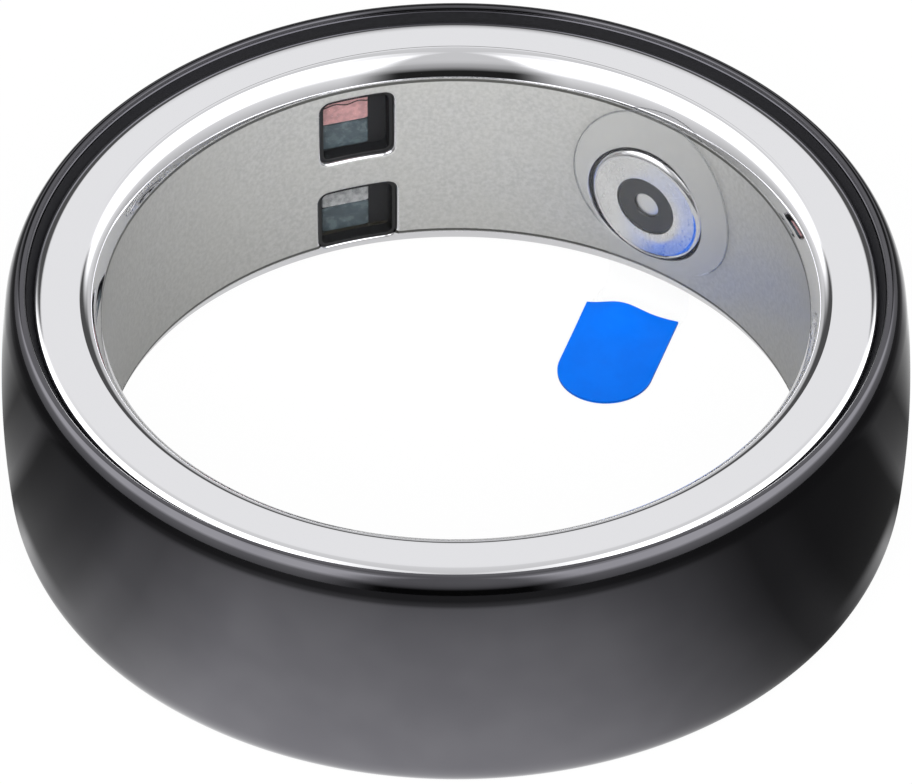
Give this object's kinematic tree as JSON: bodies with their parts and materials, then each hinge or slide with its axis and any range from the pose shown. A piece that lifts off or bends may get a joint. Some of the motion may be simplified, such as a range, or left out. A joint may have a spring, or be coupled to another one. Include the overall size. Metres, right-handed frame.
{
  "type": "smart ring",
  "caption": "Smart ring with a black metal shell, a silver liner with two sensor windows and a round charging contact, and a blue pull tab on a clear film.",
  "frame": {"origin": "centre of the ring's axis at the plane of the rim that it stands on", "axes": "+Z along the finger's axis, up from the table; +Y towards the wall between the windows and the round contact; +X to the right when looking along +Y"},
  "size_m": [0.0254, 0.0254, 0.0075],
  "materials": {
    "shell_black": "glossy black hard coating on titanium",
    "liner_silver": "polished ends and lip, satin inner wall",
    "seal_black": "dark cured adhesive",
    "window_glass": "dark polished glass",
    "frame_black": "matt black adhesive",
    "shield_black": "matt black moulding",
    "led_package": "clear resin over a lamp package",
    "photodiode": "dark coated silicon",
    "contact_metal": "satin face with a polished edge",
    "insulator_grey": "matt dark grey",
    "board_amber": "amber polyimide",
    "board_green": "green solder mask",
    "chip_black": "matt moulded package",
    "component_tan": "ceramic",
    "copper": "bare metal",
    "steel": "bare metal",
    "cell_foil": "satin foil",
    "tape_cream": "matt adhesive tape",
    "resin_dark": "cured dark resin",
    "film_clear": "clear glossy film",
    "tab_blue": "satin blue film"
  },
  "bodies": {
    "ring": {"outer_shell": "shell_black", "inner_liner": "liner_silver", "upper_seal": "seal_black", "lower_seal": "seal_black", "upper_window": "window_glass", "lower_window": "window_glass", "upper_window_frame": "frame_black", "lower_window_frame": "frame_black", "light_shield": "shield_black", "red_infrared_led": "led_package", "green_led": "led_package", "upper_photodiode": "photodiode", "lower_photodiode": "photodiode", "contact_ring": "contact_metal", "contact_insulator": "insulator_grey", "contact_pin": "contact_metal", "contact_gasket": "seal_black", "contact_leads": "copper", "flex_circuit": "board_amber", "flex_stiffener": "steel", "sensor_front_end": "chip_black", "radio_processor": "chip_black", "memory_chip": "chip_black", "motion_sensor": "chip_black", "charge_chip": "chip_black", "clock_crystal": "steel", "power_inductor": "chip_black", "capacitors": "component_tan", "resistors": "chip_black", "antenna": "copper", "skin_thermistor": "component_tan", "battery_cell": "cell_foil", "battery_board": "board_green", "battery_tabs": "steel", "battery_tape": "tape_cream", "potting_resin": "resin_dark"},
    "film": {"protective_film": "film_clear", "pull_tab": "tab_blue"}
  },
  "joints": [
    {"name": "film_peel", "type": "slide", "parent": "ring", "child": "film", "axis": [-0.281, -0.4135, 0.866], "range_m": [0, 0.014]}
  ]
}
